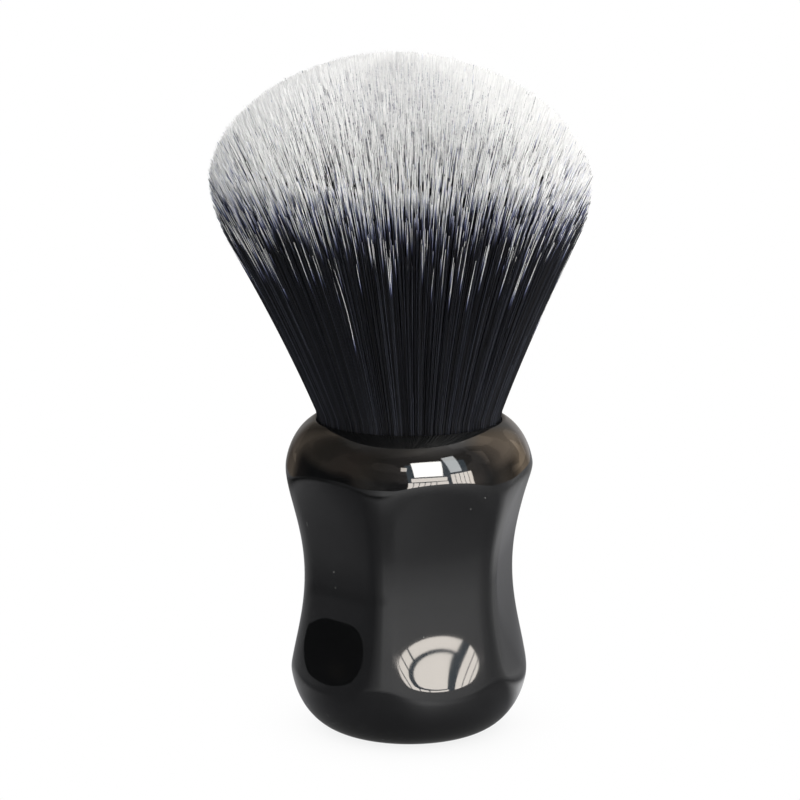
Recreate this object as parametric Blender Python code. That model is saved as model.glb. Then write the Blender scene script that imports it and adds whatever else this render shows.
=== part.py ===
"""Shaving brush: a turned and scalloped resin handle with a glued-in, fan-shaped synthetic knot.

Units are metres, +Z up. The origin is the centre of the flat underside, and one scallop faces -Y.
The knot bends about the point BEND, so its three fibre solids meet on spheres round that point.
"""

import math

import bmesh
import bpy
from mathutils import Vector

MM = 0.001
GAP = 0.25 * MM  # clearance between neighbouring pieces

# Handle: an ellipse for the foot, an ellipse for the shoulder, and a smooth waist between them.
HANDLE_HEIGHT = 51.2 * MM
FOOT_CENTRE_RADIUS = 11.0 * MM
FOOT_RADIUS = 19.5 * MM
FOOT_LEVEL = 11.4 * MM
FOOT_HALF_HEIGHT = 11.5 * MM
SHOULDER_CENTRE_RADIUS = 12.65 * MM
SHOULDER_RADIUS = 20.15 * MM
SHOULDER_LEVEL = 42.15 * MM
SHOULDER_HALF_HEIGHT = 9.8 * MM

# Six scallops, each flat across and half an ellipse along the handle, then polished until no edge is left.
SCALLOPS = 6
SCALLOP_LEVEL = 26.1 * MM
SCALLOP_HALF_LENGTH = 20.0 * MM
SCALLOP_DEPTH = 11.3 * MM  # from the middle of the half ellipse to its ends
SCALLOP_DEEPEST_RADIUS = 15.9 * MM
SCALLOP_EDGE_SOFTNESS = 3.0 * MM
RIDGE_SOFTNESS = 3.5 * MM

# Socket and what is bedded in it.
KNOT_RADIUS = 14.5 * MM
SOCKET_RADIUS = KNOT_RADIUS + 0.3 * MM
SOCKET_DEPTH = 16.0 * MM
SOCKET_LIP = 0.5 * MM
ADHESIVE_WALL = 0.6 * MM
ADHESIVE_FLOOR = 0.7 * MM
ADHESIVE_HEIGHT = 8.0 * MM
PLUG_HEIGHT = 8.0 * MM
PLUG_CHAMFER = 1.0 * MM
CORD_RADIUS = 0.32 * MM
CORD_TURNS = 4.5
CORD_PITCH = 0.85 * MM

# Fibres: a flare that opens as a parabola, a rounded rim, and a domed top.
FLARE_SLOPE = 0.385
FLARE_GROWTH = 2.54  # per metre
FLARE_TOP = 79.0 * MM
RIM_RADIUS = 30.3 * MM
RIM_LEVEL = 89.5 * MM
TOP_LEVEL = 109.8 * MM
DOME_POWER = 1.87

# The bend of the knot.
BEND = Vector((0.0, 0.0, 50.0 * MM))
ROOT_BALL_RADIUS = 22.2 * MM
MID_BALL_RADIUS = 30.0 * MM

HANDLE_SIDES = 60
HANDLE_RINGS = 30
FIBRE_SIDES = 42


def clear_scene():
    for old in list(bpy.data.objects):
        bpy.data.objects.remove(old, do_unlink=True)


def material(name, colour, roughness, coat=0.0):
    made = bpy.data.materials.new(name)
    made.use_nodes = True
    shader = made.node_tree.nodes["Principled BSDF"]
    shader.inputs["Base Color"].default_value = (*colour, 1.0)
    shader.inputs["Roughness"].default_value = roughness
    shader.inputs["Metallic"].default_value = 0.0
    shader.inputs["Coat Weight"].default_value = coat
    return made


def add_object(name, bm, look):
    """A named, smooth-shaded object from a bmesh, with its faces pointing out."""
    bmesh.ops.recalc_face_normals(bm, faces=bm.faces)
    mesh = bpy.data.meshes.new(name)
    bm.to_mesh(mesh)
    bm.free()
    mesh.shade_smooth()
    mesh.set_sharp_from_angle(angle=math.radians(35))
    mesh.materials.append(look)
    made = bpy.data.objects.new(name, mesh)
    bpy.context.scene.collection.objects.link(made)
    return made


def ring(bm, level, radius_at, sides):
    """One level loop of points; radius_at gives the radius at an angle."""
    points = []
    for i in range(sides):
        angle = math.tau * i / sides
        radius = radius_at(angle)
        points.append(bm.verts.new((radius * math.cos(angle), radius * math.sin(angle), level)))
    return points


def skin(bm, rings, bottom_level, top_level):
    """Quads between neighbouring rings, and a fan to a point on the axis at each end."""
    sides = len(rings[0])
    for low, high in zip(rings, rings[1:]):
        for i in range(sides):
            j = (i + 1) % sides
            bm.faces.new((low[i], low[j], high[j], high[i]))
    for end, level in ((rings[0], bottom_level), (rings[-1], top_level)):
        centre = bm.verts.new((0.0, 0.0, level))
        for i in range(sides):
            bm.faces.new((end[i], end[(i + 1) % sides], centre))


def turned(name, profile, look, sides=FIBRE_SIDES):
    """A solid of revolution; profile runs from the axis to the axis, as (radius, level)."""
    bm = bmesh.new()
    rings = [ring(bm, level, lambda angle, r=radius: r, sides) for radius, level in profile[1:-1]]
    skin(bm, rings, profile[0][1], profile[-1][1])
    return add_object(name, bm, look)


def arc(centre, radius, start, end, steps):
    """Points on an arc in the (radius, level) plane; angles in radians from the level."""
    points = []
    for i in range(steps + 1):
        angle = start + (end - start) * i / steps
        points.append((centre[0] + radius * math.cos(angle), centre[1] + radius * math.sin(angle)))
    return points


# ---------------------------------------------------------------- handle

def smooth_min(a, b, softness):
    """The smaller of two lengths, with the change from one to the other rounded off."""
    share = min(max(0.5 + 0.5 * (b - a) / softness, 0.0), 1.0)
    return b + (a - b) * share - softness * share * (1.0 - share)


def turned_radius(level):
    """Radius of the turned blank, before the scallops are ground."""
    if level < FOOT_LEVEL:
        drop = (FOOT_LEVEL - level) / FOOT_HALF_HEIGHT
        return FOOT_CENTRE_RADIUS + (FOOT_RADIUS - FOOT_CENTRE_RADIUS) * math.sqrt(1.0 - drop * drop)
    if level > SHOULDER_LEVEL:
        rise = (level - SHOULDER_LEVEL) / SHOULDER_HALF_HEIGHT
        span = SHOULDER_RADIUS - SHOULDER_CENTRE_RADIUS
        return SHOULDER_CENTRE_RADIUS + span * math.sqrt(1.0 - rise * rise)
    share = (level - FOOT_LEVEL) / (SHOULDER_LEVEL - FOOT_LEVEL)
    return FOOT_RADIUS + (SHOULDER_RADIUS - FOOT_RADIUS) * share * share * (3.0 - 2.0 * share)


def scallop_depth_radius(level):
    """Distance from the handle's axis to the floor of a scallop, square to the scallop."""
    away = min(abs(level - SCALLOP_LEVEL) / SCALLOP_HALF_LENGTH, 1.0)
    return SCALLOP_DEEPEST_RADIUS + SCALLOP_DEPTH * (1.0 - math.sqrt(1.0 - away * away))


def handle_radius(level, angle):
    """Outer radius of the finished handle at a level and an angle about +Z."""
    step = math.tau / SCALLOPS
    from_middle = abs((angle + math.pi / 2 + step / 2) % step - step / 2)
    flat = scallop_depth_radius(level)
    own = flat / math.cos(from_middle)
    neighbour = flat / math.cos(step - from_middle)
    ground = smooth_min(own, neighbour, RIDGE_SOFTNESS)
    return smooth_min(turned_radius(level), ground, SCALLOP_EDGE_SOFTNESS)


def handle_levels():
    """Levels of the handle's rings, closer together where the foot and the shoulder curve most."""
    levels = []
    for i in range(HANDLE_RINGS + 1):
        share = i / HANDLE_RINGS
        eased = share - math.sin(math.tau * share) / (math.tau * 1.35)
        levels.append(HANDLE_HEIGHT * eased)
    return levels


def make_handle(look):
    bm = bmesh.new()
    rings = []
    for level in handle_levels():
        rings.append(ring(bm, level, lambda angle, z=level: handle_radius(z, angle), HANDLE_SIDES))
    floor_level = HANDLE_HEIGHT - SOCKET_DEPTH
    for level in (HANDLE_HEIGHT - SOCKET_LIP, floor_level):
        rings.append(ring(bm, level, lambda angle: SOCKET_RADIUS, HANDLE_SIDES))
    skin(bm, rings, 0.0, floor_level)
    return add_object("handle", bm, look)


# ---------------------------------------------------------------- inside the socket

def make_adhesive(look):
    """The cup of epoxy between the socket and the plug."""
    outer = SOCKET_RADIUS - GAP
    inner = outer - ADHESIVE_WALL
    low = HANDLE_HEIGHT - SOCKET_DEPTH + GAP
    floor = low + ADHESIVE_FLOOR
    high = low + ADHESIVE_HEIGHT
    profile = [(0, low), (outer, low), (outer, high), (inner, high), (inner, floor), (0, floor)]
    return turned("bedding_adhesive", profile, look)


def plug_radius():
    return SOCKET_RADIUS - GAP - ADHESIVE_WALL - GAP


def plug_bottom():
    return HANDLE_HEIGHT - SOCKET_DEPTH + GAP + ADHESIVE_FLOOR + GAP


def plug_top():
    return plug_bottom() + PLUG_HEIGHT


def make_plug(look):
    """The cast base of the knot, chamfered to enter the socket."""
    radius = plug_radius()
    low = plug_bottom()
    profile = [
        (0, low),
        (radius - PLUG_CHAMFER, low),
        (radius, low + PLUG_CHAMFER),
        (radius, plug_top()),
        (0, plug_top()),
    ]
    return turned("knot_plug", profile, look)


def make_thread(look):
    """A cord wound round the fibre roots, as a bevelled helix."""
    coil_radius = SOCKET_RADIUS - GAP - CORD_RADIUS
    start = plug_top() + CORD_RADIUS + GAP
    steps = int(CORD_TURNS * 30)
    curve = bpy.data.curves.new("binding_thread", "CURVE")
    curve.dimensions = "3D"
    curve.bevel_depth = CORD_RADIUS
    curve.bevel_resolution = 1
    curve.use_fill_caps = True
    spline = curve.splines.new("POLY")
    spline.points.add(steps)
    for i in range(steps + 1):
        turn = CORD_TURNS * i / steps
        angle = math.tau * turn
        x = coil_radius * math.cos(angle)
        y = coil_radius * math.sin(angle)
        spline.points[i].co = (x, y, start + CORD_PITCH * turn, 1.0)
    curve.materials.append(look)
    made = bpy.data.objects.new("binding_thread", curve)
    bpy.context.scene.collection.objects.link(made)
    return made


# ---------------------------------------------------------------- fibres

def knot_radius(level):
    """Outer radius of the fibre bundle at a level above the socket's mouth."""
    if level <= FLARE_TOP:
        rise = max(level - HANDLE_HEIGHT, 0.0)
        return KNOT_RADIUS + FLARE_SLOPE * rise + FLARE_GROWTH * rise * rise
    if level <= RIM_LEVEL:
        span = RIM_LEVEL - FLARE_TOP
        share = (level - FLARE_TOP) / span
        slope = FLARE_SLOPE + 2.0 * FLARE_GROWTH * (FLARE_TOP - HANDLE_HEIGHT)
        low = knot_radius(FLARE_TOP)
        lean = share * (1.0 - share) ** 2
        blend = share * share * (3.0 - 2.0 * share)
        return low + (RIM_RADIUS - low) * blend + slope * span * lean
    rise = min((level - RIM_LEVEL) / (TOP_LEVEL - RIM_LEVEL), 1.0)
    return RIM_RADIUS * (1.0 - rise ** DOME_POWER) ** (1.0 / DOME_POWER)


def level_on_ball(ball_radius):
    """Level at which the bundle's outer surface crosses a sphere round the bend, by bisection."""
    low, high = BEND.z, RIM_LEVEL
    for _ in range(40):
        middle = 0.5 * (low + high)
        if math.hypot(knot_radius(middle), middle - BEND.z) < ball_radius:
            low = middle
        else:
            high = middle
    return low


def flare(start, end, steps):
    """Points up the outside of the bundle between two levels, both included."""
    levels = [start + (end - start) * i / steps for i in range(steps + 1)]
    return [(knot_radius(level), level) for level in levels]


def cap(ball_radius, steps=5):
    """Points down a sphere round the bend, from near the axis to the bundle's outside."""
    level = level_on_ball(ball_radius)
    edge = math.atan2(level - BEND.z, knot_radius(level))
    points = arc((0.0, BEND.z), ball_radius, math.pi / 2, edge, steps)
    return [(0.0, BEND.z + ball_radius)] + points[1:]


def make_root(look):
    """Fibres in and just above the socket, necked where the cord binds them."""
    neck = SOCKET_RADIUS - 2.0 * GAP - 2.0 * CORD_RADIUS
    low = plug_top() + GAP
    cord_top = plug_top() + 2.0 * CORD_RADIUS + 2.0 * GAP + CORD_PITCH * CORD_TURNS
    profile = [(0.0, low), (neck, low), (neck, cord_top), (KNOT_RADIUS, cord_top + 1.0 * MM)]
    profile += flare(HANDLE_HEIGHT, level_on_ball(ROOT_BALL_RADIUS), 4)
    profile += cap(ROOT_BALL_RADIUS)[::-1][1:]
    return turned("fibre_root", profile, look)


def make_mid(look):
    """The slice of the bundle that bends fore and aft: a shell between two spheres round the bend."""
    inner = ROOT_BALL_RADIUS + GAP
    profile = cap(inner)[:-1]
    profile += flare(level_on_ball(inner), level_on_ball(MID_BALL_RADIUS), 3)
    profile += cap(MID_BALL_RADIUS)[::-1][1:]
    return turned("fibre_mid", profile, look)


def make_head(look):
    """The rest of the bundle: the upper flare, the rounded rim and the domed tips."""
    inner = MID_BALL_RADIUS + GAP
    profile = cap(inner)[:-1]
    profile += flare(level_on_ball(inner), FLARE_TOP, 3)
    profile += flare(FLARE_TOP, RIM_LEVEL, 4)[1:]
    for i in range(1, 11):
        angle = math.pi / 2 * i / 11
        level = RIM_LEVEL + (TOP_LEVEL - RIM_LEVEL) * math.sin(angle)
        profile.append((knot_radius(level), level))
    profile.append((0.0, TOP_LEVEL))
    return turned("fibre_head", profile, look)


def bend_axis(name):
    """An empty at the bend, which the pieces that turn there are parented to."""
    empty = bpy.data.objects.new(name, None)
    empty.empty_display_size = 10.0 * MM
    empty.location = BEND
    bpy.context.scene.collection.objects.link(empty)
    return empty


def hang_on(piece, axis):
    piece.parent = axis
    piece.matrix_parent_inverse = axis.matrix_world.inverted()


def main():
    clear_scene()
    resin = material("black_resin", (0.012, 0.012, 0.013), 0.08, coat=1.0)
    adhesive = material("clear_epoxy", (0.55, 0.50, 0.40), 0.25)
    plug = material("cast_epoxy", (0.32, 0.28, 0.22), 0.35)
    cord = material("waxed_cord", (0.62, 0.60, 0.55), 0.7)
    root_fibre = material("black_fibre", (0.012, 0.012, 0.018), 0.45)
    tip_fibre = material("white_fibre", (0.70, 0.70, 0.71), 0.5)

    make_handle(resin)
    make_adhesive(adhesive)
    make_plug(plug)
    make_thread(cord)
    make_root(root_fibre)
    mid = make_mid(root_fibre)
    head = make_head(tip_fibre)

    fore_aft = bend_axis("axis_fore_aft")
    sideways = bend_axis("axis_sideways")
    bpy.context.view_layer.update()
    hang_on(sideways, fore_aft)
    bpy.context.view_layer.update()
    hang_on(mid, fore_aft)
    hang_on(head, sideways)


main()
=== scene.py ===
"""Looks of the shaving brush: a fine gloss-resin handle and a knot of single fibres around the frame.

Lengths are metres in the frame's own axes. Every random draw is seeded.
"""
import math

import bpy
import numpy as np
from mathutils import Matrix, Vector


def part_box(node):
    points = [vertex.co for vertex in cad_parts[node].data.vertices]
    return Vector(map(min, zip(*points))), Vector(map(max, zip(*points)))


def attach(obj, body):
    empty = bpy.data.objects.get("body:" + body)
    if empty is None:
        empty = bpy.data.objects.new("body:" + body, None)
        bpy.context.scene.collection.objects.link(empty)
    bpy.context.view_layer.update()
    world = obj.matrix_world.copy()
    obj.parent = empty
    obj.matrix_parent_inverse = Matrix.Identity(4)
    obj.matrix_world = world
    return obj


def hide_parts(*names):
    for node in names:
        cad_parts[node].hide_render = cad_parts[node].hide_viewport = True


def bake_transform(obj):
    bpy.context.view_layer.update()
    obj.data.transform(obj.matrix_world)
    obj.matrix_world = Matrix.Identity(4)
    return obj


MM = 0.001
GAP = 0.25 * MM  # clearance between neighbouring CAD pieces

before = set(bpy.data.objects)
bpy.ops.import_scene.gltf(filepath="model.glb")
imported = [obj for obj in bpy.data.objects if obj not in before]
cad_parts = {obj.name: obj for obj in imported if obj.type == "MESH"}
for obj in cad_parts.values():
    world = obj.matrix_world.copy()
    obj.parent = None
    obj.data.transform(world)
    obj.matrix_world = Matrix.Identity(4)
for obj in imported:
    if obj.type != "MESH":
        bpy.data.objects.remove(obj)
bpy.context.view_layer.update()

# ---------------------------------------------------------------- sizes
# Taken from the frame.
HANDLE_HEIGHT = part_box("handle")[1].z
SOCKET_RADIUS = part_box("bedding_adhesive")[1].x + GAP
SOCKET_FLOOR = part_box("bedding_adhesive")[0].z - GAP
RIM_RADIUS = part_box("fibre_head")[1].x
TOP_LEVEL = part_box("fibre_head")[1].z

# Handle: an elliptical foot and shoulder, a smooth run between them, and six scallops ground in.
FOOT_CENTRE_RADIUS = 11.0 * MM
FOOT_RADIUS = 19.5 * MM
FOOT_LEVEL = 11.4 * MM
FOOT_HALF_HEIGHT = 11.5 * MM
SHOULDER_CENTRE_RADIUS = 12.65 * MM
SHOULDER_RADIUS = 20.15 * MM
SHOULDER_LEVEL = 42.15 * MM
SHOULDER_HALF_HEIGHT = 9.8 * MM
SCALLOPS = 6
SCALLOP_LEVEL = 26.1 * MM
SCALLOP_HALF_LENGTH = 20.0 * MM
SCALLOP_DEPTH = 11.3 * MM
DEEPEST_RADIUS = 15.9 * MM
SCALLOP_EDGE_SOFTNESS = 3.0 * MM
RIDGE_SOFTNESS = 3.5 * MM
HANDLE_SIDES = 288
HANDLE_RINGS = 200
RING_EASING = 1.35  # 1 would crowd the rings fully at both ends
LIP_WIDTH = 0.12 * MM
LIP_DEPTH = 0.2 * MM

# Knot: the outermost fibres flare as a parabola, and the tips are trimmed to a rounded rim and a dome.
KNOT_RADIUS = 14.5 * MM
FLARE_SLOPE = 0.385
FLARE_GROWTH = 2.54
FLARE_TOP = 79.0 * MM
RIM_LEVEL = 89.5 * MM
DOME_POWER = 1.87
LEAN = 0.037  # sideways per height
CUT_LEVEL = 70.0 * MM  # between the skirt's pieces and the crown's
ROOT_DEPTH = 1.5 * MM
SIDE_FIBRES = 4600
SIDE_DEPTH = 0.13  # share of the flare that the side fibres fill
STRAY_FIBRES = 12
DOME_FIBRES = 19000
DOME_LENGTH = 9.0 * MM
DOME_SHARE = 0.90
FIBRE_RADIUS = 0.095 * MM
TIP_THICKNESS = 0.35
TAPER_LENGTH = 4.0 * MM
SKIRT_STEPS = 7
CROWN_STEPS = 12
DOME_STEPS = 3
CLUMPS = 300
CLUMP_POWER = 1.5
DRIFT = 0.012  # radians
SWAY = 0.003  # radians
SWAY_RATE = 11.0  # radians from the socket to the top
WAVE = 0.10 * MM
WAVE_RATE = 7.0
SPLAY = 0.004  # share of the flare
TIP_SCATTER = 0.12 * MM
SHORT_CHANCE = 0.06
SHORT_LENGTH = 1.2 * MM
CORE_SHARE = 0.90
CORE_TRIM = 0.93
CORE_DEPTH = 1.6 * MM
CORE_LEAST = 0.4 * MM
CORE_ROOT_DEPTH = 2.0 * MM
CORE_SIDES = 180
LOWER_CORE_RINGS = 12
UPPER_CORE_RINGS = 40

# Dye: every fibre is black up to its own length from the socket, then white.
DYE_LENGTH = 37.7 * MM
DYE_LOWEST = 11.0 * MM
DYE_HIGHEST = 57.0 * MM
DYE_FADE = 4.2 * MM
CLUMP_SCATTER = 1.3 * MM
OWN_SCATTER = 1.7 * MM
TAIL_CHANCE = 0.42
TAIL_LENGTH = 1.6 * MM
DARK_CHANCE = 0.10
DARK_LENGTH = 3.4 * MM
# Deeper fibres are dyed further up: painted shade in the gaps between the outer fibres.
DEEP_PAINTED_SHADE = 0.6
FULLY_DYED_CHANCE = 0.16
FULLY_DYED_TOP = 106.0 * MM
FULLY_DYED_SPAN = 14.0 * MM
LEAST_WHITE = 2.5 * MM
MOST_WHITE = 8.5 * MM
CORE_DYE_LEVEL = 98.0 * MM
CORE_DYE_FADE = 12.0 * MM
VARIANTS = 128
UV_LENGTH = 80.0 * MM
UV_NAME = "OFBake"

# Camera, in the frame's axes.
CAMERA_AZIMUTH = -16.3
CAMERA_DISTANCE = 400.0 * MM
CAMERA_HEIGHT = 130.2 * MM
CAMERA_LENS = 113.4
AIM_LEVEL = 54.0 * MM
AIM_LEFT = 1.5 * MM
SENSOR_WIDTH = 36.0

# What the handle mirrors: a table whose raised edge has a height in mm at each azimuth, and a window.
# Azimuths here and below are in degrees, from the camera's side to its right.
TABLE_REACH = 200.0 * MM
EDGE_AZIMUTHS = (-180, -110, -95, -88, -80, -72, -64, -50, -10, 0, 10, 20, 32, 45, 55, 65, 90, 180)
EDGE_HEIGHTS = (12, 6, 9, 13, 15, 24, 32, 36, 38, 39, 39, 40, 41, 38, 31, 27, 26, 20)
SUN = 2.9
GLOW = 2.0
FLOOR_REACH = 4.0
FLOOR_GAP = 0.05 * MM
WINDOW_DISTANCE = 2.5
WINDOW_LEVEL = 45.0 * MM
DAYLIGHT = 14.4

# The key light.
KEY_AZIMUTH = 32
KEY_ELEVATION = 50
KEY_DISTANCE = 0.9
KEY_TARGET = 70.0 * MM
KEY_WIDTH = 0.6
KEY_POWER = 8.6


# ---------------------------------------------------------------- node helpers
def new_material(name):
    """A material and its node tree, with the Principled shader already there."""
    made = bpy.data.materials.new(name)
    made.use_nodes = True
    return made, made.node_tree, made.node_tree.nodes["Principled BSDF"]


def node(tree, kind, **settings):
    """A node with its unlinked inputs and its own settings given by name."""
    made = tree.nodes.new(kind)
    for key, value in settings.items():
        if key in made.inputs:
            made.inputs[key].default_value = value
        else:
            setattr(made, key, value)
    return made


def math_node(tree, operation, first, second=None):
    """A Math node whose inputs are numbers or sockets; returns its output socket."""
    made = tree.nodes.new("ShaderNodeMath")
    made.operation = operation
    for slot, value in zip(made.inputs, (first, second)):
        if value is None:
            continue
        if isinstance(value, (int, float)):
            slot.default_value = value
        else:
            tree.links.new(value, slot)
    return made.outputs[0]


def ramp(tree, factor, *stops):
    """A colour ramp; each stop is (position, (r, g, b)) or (position, grey)."""
    made = tree.nodes.new("ShaderNodeValToRGB")
    tree.links.new(factor, made.inputs["Fac"])
    elements = made.color_ramp.elements
    while len(elements) < len(stops):
        elements.new(0.5)
    for element, (position, colour) in zip(elements, stops):
        element.position = position
        if isinstance(colour, (int, float)):
            colour = (colour, colour, colour)
        element.color = (*colour, 1.0)
    return made.outputs["Color"]


def mix_colour(tree, factor, first, second):
    """Mix of two colours; each is a socket or an (r, g, b)."""
    made = tree.nodes.new("ShaderNodeMix")
    made.data_type = "RGBA"
    for slot, value in ((made.inputs[0], factor), (made.inputs[6], first), (made.inputs[7], second)):
        if isinstance(value, (int, float)):
            slot.default_value = value
        elif isinstance(value, tuple):
            slot.default_value = (*value, 1.0)
        else:
            tree.links.new(value, slot)
    return made.outputs[2]


def blended(tree, blend, first, second):
    """Two colour sockets added or multiplied."""
    made = node(tree, "ShaderNodeMix", data_type="RGBA", blend_type=blend)
    made.inputs[0].default_value = 1.0
    tree.links.new(first, made.inputs[6])
    tree.links.new(second, made.inputs[7])
    return made.outputs[2]


def add_colours(tree, first, second):
    return blended(tree, "ADD", first, second)


def multiply(tree, first, second):
    return blended(tree, "MULTIPLY", first, second)


def white_of(tree, brightness):
    """A plain grey, which may be brighter than 1."""
    made = tree.nodes.new("ShaderNodeRGB")
    made.outputs[0].default_value = (brightness, brightness, brightness, 1.0)
    return made.outputs[0]


def mix_shader(tree, factor, first, second):
    """The first shader where the factor is 0, the second where it is 1."""
    made = tree.nodes.new("ShaderNodeMixShader")
    tree.links.new(factor, made.inputs["Fac"])
    tree.links.new(first, made.inputs[1])
    tree.links.new(second, made.inputs[2])
    return made.outputs["Shader"]


def add_bump(tree, shader, height, strength, distance):
    """Bumps from a height socket; distance is their full height."""
    bump = node(tree, "ShaderNodeBump", Strength=strength, Distance=distance)
    tree.links.new(height, bump.inputs["Height"])
    tree.links.new(bump.outputs["Normal"], shader.inputs["Normal"])


# ---------------------------------------------------------------- materials
def marks(tree, place, scale, size, channel, above):
    """Small scattered marks: 1 near the middles of the few cells whose colour channel is high."""
    cells = node(tree, "ShaderNodeTexVoronoi", Scale=scale, Randomness=1.0)
    tree.links.new(place, cells.inputs["Vector"])
    parts = tree.nodes.new("ShaderNodeSeparateColor")
    tree.links.new(cells.outputs["Color"], parts.inputs["Color"])
    near = math_node(tree, "LESS_THAN", cells.outputs["Distance"], size)
    chosen = math_node(tree, "GREATER_THAN", parts.outputs[channel], above)
    return math_node(tree, "MULTIPLY", near, chosen)


def resin_material():
    """Gloss black resin: a faint haze of polish, specks of dust and hairline scratches."""
    made, tree, shader = new_material("black_resin")
    place = tree.nodes.new("ShaderNodeTexCoord").outputs["Object"]
    haze = node(tree, "ShaderNodeTexNoise", Scale=90.0, Detail=5.0, Roughness=0.6)
    tree.links.new(place, haze.inputs["Vector"])
    rough = tree.nodes.new("ShaderNodeMapRange")
    tree.links.new(haze.outputs["Fac"], rough.inputs["Value"])
    rough.inputs["From Min"].default_value = 0.3
    rough.inputs["From Max"].default_value = 0.75
    rough.inputs["To Min"].default_value = 0.025
    rough.inputs["To Max"].default_value = 0.07
    tree.links.new(rough.outputs["Result"], shader.inputs["Roughness"])
    shader.inputs["Specular IOR Level"].default_value = 0.5
    shader.inputs["IOR"].default_value = 1.52

    stretch = node(tree, "ShaderNodeMapping", Rotation=(0.5, 0.9, 0.3), Scale=(1.0, 14.0, 1.0))
    tree.links.new(place, stretch.inputs["Vector"])
    dust = marks(tree, place, 420.0, 0.045, "Red", 0.90)
    scratches = marks(tree, stretch.outputs["Vector"], 150.0, 0.06, "Green", 0.955)
    marked = math_node(tree, "MAXIMUM", dust, scratches)
    body = mix_colour(tree, haze.outputs["Fac"], (0.0015, 0.0016, 0.0018), (0.003, 0.0032, 0.0034))
    colour = mix_colour(tree, marked, body, (0.16, 0.16, 0.15))
    tree.links.new(colour, shader.inputs["Base Color"])
    return made


def cast_epoxy_material():
    """Cast epoxy full of cut fibre ends: dark round dots in an amber ground."""
    made, tree, shader = new_material("cast_epoxy")
    place = tree.nodes.new("ShaderNodeTexCoord").outputs["Object"]
    cells = node(tree, "ShaderNodeTexVoronoi", Scale=2600.0, Randomness=0.8)
    cloud = node(tree, "ShaderNodeTexNoise", Scale=300.0, Detail=4.0)
    for texture in (cells, cloud):
        tree.links.new(place, texture.inputs["Vector"])
    dots = ramp(tree, cells.outputs["Distance"], (0.25, (0.02, 0.02, 0.025)), (0.45, (0.34, 0.27, 0.17)))
    tint = ramp(tree, cloud.outputs["Fac"], (0.3, (0.20, 0.16, 0.10)), (0.7, (0.42, 0.36, 0.25)))
    tree.links.new(mix_colour(tree, 0.4, dots, tint), shader.inputs["Base Color"])
    shader.inputs["Roughness"].default_value = 0.35
    add_bump(tree, shader, cells.outputs["Distance"], 0.25, 0.1 * MM)
    return made


def clear_epoxy_material():
    """Cured clear adhesive: straw coloured, wavy, with small trapped bubbles."""
    made, tree, shader = new_material("clear_epoxy")
    place = tree.nodes.new("ShaderNodeTexCoord").outputs["Object"]
    waves = node(tree, "ShaderNodeTexNoise", Scale=220.0, Detail=3.0)
    bubbles = node(tree, "ShaderNodeTexVoronoi", Scale=900.0)
    for texture in (waves, bubbles):
        tree.links.new(place, texture.inputs["Vector"])
    ground = ramp(tree, waves.outputs["Fac"], (0.3, (0.50, 0.44, 0.30)), (0.7, (0.64, 0.60, 0.48)))
    ring = ramp(tree, bubbles.outputs["Distance"], (0.0, 1.0), (0.12, 1.0), (0.16, 0.0))
    tree.links.new(mix_colour(tree, ring, ground, (0.82, 0.80, 0.72)), shader.inputs["Base Color"])
    shader.inputs["Roughness"].default_value = 0.2
    add_bump(tree, shader, waves.outputs["Fac"], 0.3, 0.2 * MM)
    return made


def cord_material():
    """Waxed cord: the strands' twist as slanting bands, with fuzz between them."""
    made, tree, shader = new_material("waxed_cord")
    place = tree.nodes.new("ShaderNodeTexCoord").outputs["Object"]
    turn = node(tree, "ShaderNodeMapping", Rotation=(0.6, 0.7, 0.0))
    tree.links.new(place, turn.inputs["Vector"])
    twist = node(tree, "ShaderNodeTexWave", Scale=900.0, Distortion=1.5, Detail=2.0)
    fuzz = node(tree, "ShaderNodeTexNoise", Scale=5000.0, Detail=3.0)
    tree.links.new(turn.outputs["Vector"], twist.inputs["Vector"])
    tree.links.new(place, fuzz.inputs["Vector"])
    bands = ramp(tree, twist.outputs["Fac"], (0.2, (0.38, 0.36, 0.31)), (0.7, (0.70, 0.68, 0.62)))
    tree.links.new(mix_colour(tree, 0.2, bands, fuzz.outputs["Color"]), shader.inputs["Base Color"])
    shader.inputs["Roughness"].default_value = 0.7
    add_bump(tree, shader, twist.outputs["Fac"], 0.5, 0.1 * MM)
    return made


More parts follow.
